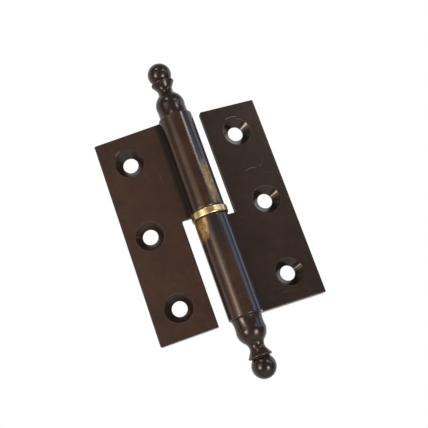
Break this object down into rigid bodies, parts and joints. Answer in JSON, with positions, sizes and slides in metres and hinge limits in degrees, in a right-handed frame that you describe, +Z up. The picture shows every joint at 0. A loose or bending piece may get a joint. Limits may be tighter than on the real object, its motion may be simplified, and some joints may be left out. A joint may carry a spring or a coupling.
{
  "type": "lift-off butt hinge with finials",
  "caption": "Lift-off butt hinge: countersunk leaves rolled round a fixed pin, a brass bearing ring between the knuckles and turned ball finials at both ends.",
  "frame": {"origin": "on the pin's axis, at the mid-height of the leaves", "axes": "+Z up along the pin, towards the knuckle that lifts off; +X along the lower leaf, away from the pin; +Y out of the lower leaf's back, so the countersunk faces look towards -Y"},
  "size_m": [0.0634, 0.0192, 0.1256],
  "materials": {
    "bronzed_steel": "dark antique bronze plating on steel sheet, satin on the leaves and glossy on the knuckles, rubbed through to brass in places",
    "bronzed_finials": "dark antique bronze plating, turned and polished",
    "pin_steel": "drawn and greased",
    "ring_brass": "turned, bright"
  },
  "bodies": {
    "lower_half": {"lower_leaf": "bronzed_steel", "hinge_pin": "pin_steel", "lower_finial": "bronzed_finials"},
    "ring": {"bearing_ring": "ring_brass"},
    "upper_half": {"upper_leaf": "bronzed_steel", "upper_finial": "bronzed_finials"}
  },
  "joints": [
    {"name": "swing", "type": "hinge", "parent": "lower_half", "child": "ring", "pos_m": [0, 0, 0], "axis": [0, 0, 1], "range_deg": [-124, 195.5]},
    {"name": "lift_off", "type": "slide", "parent": "ring", "child": "upper_half", "axis": [0, 0, 1], "range_m": [0, 0.033]}
  ]
}
